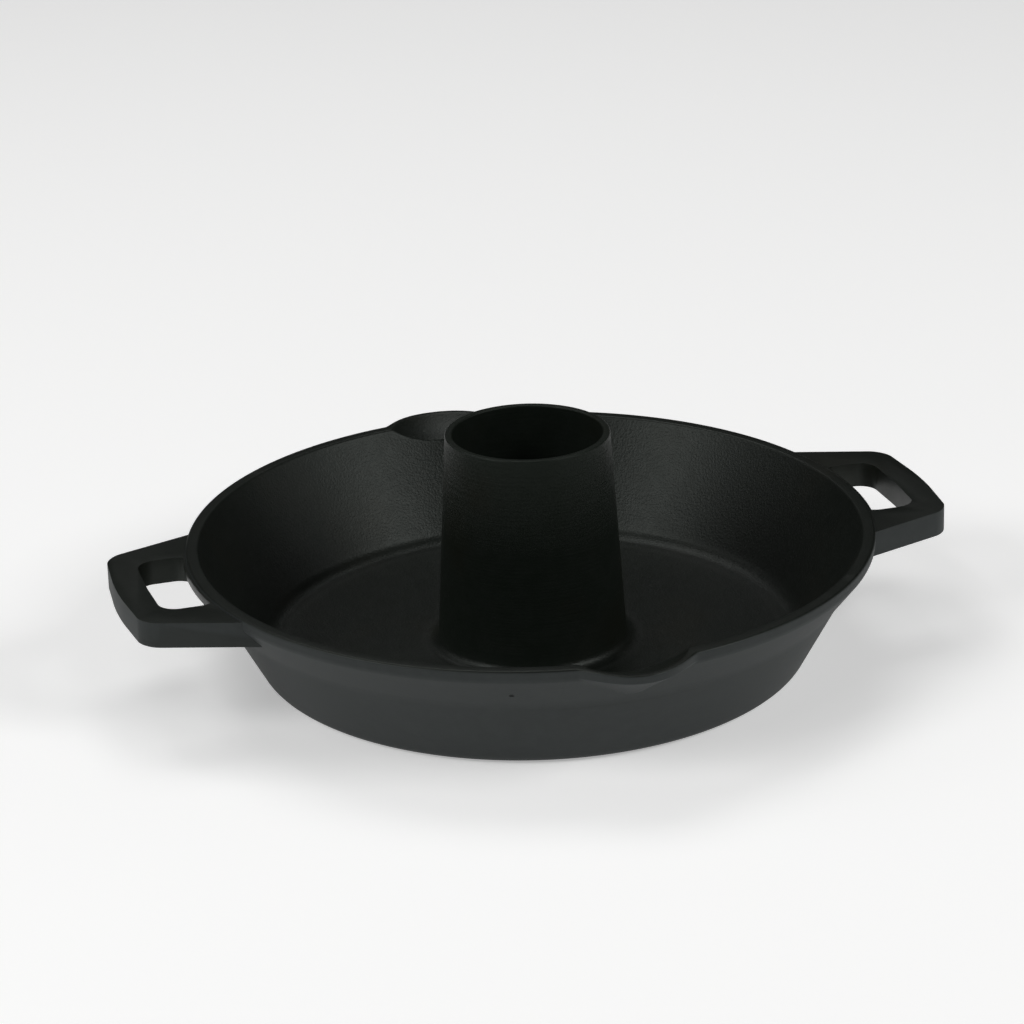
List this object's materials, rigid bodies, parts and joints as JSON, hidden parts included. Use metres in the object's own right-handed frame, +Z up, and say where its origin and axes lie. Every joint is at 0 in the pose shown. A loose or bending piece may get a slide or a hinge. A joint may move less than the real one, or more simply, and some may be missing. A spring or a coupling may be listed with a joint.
{
  "type": "cast-iron poultry roaster pan",
  "caption": "Round flared cast-iron pan with a hollow tapered post in the centre for roasting a bird upright, flat loop handles and side pouring spouts.",
  "frame": {"origin": "centre of the flat underside, on the axis of the post", "axes": "+Z up along the post, X through the two handles, Y through the two pouring spouts"},
  "size_m": [0.318, 0.2796, 0.088],
  "materials": {
    "seasoned_iron": "black baked-oil seasoning over sand-cast iron, satin"
  },
  "bodies": {
    "root": {"centre_post": "seasoned_iron", "pan_floor": "seasoned_iron", "pan_wall": "seasoned_iron", "rim_left": "seasoned_iron", "rim_right": "seasoned_iron", "pour_spout_front": "seasoned_iron", "pour_spout_back": "seasoned_iron", "handle_left": "seasoned_iron", "handle_right": "seasoned_iron"}
  },
  "joints": []
}
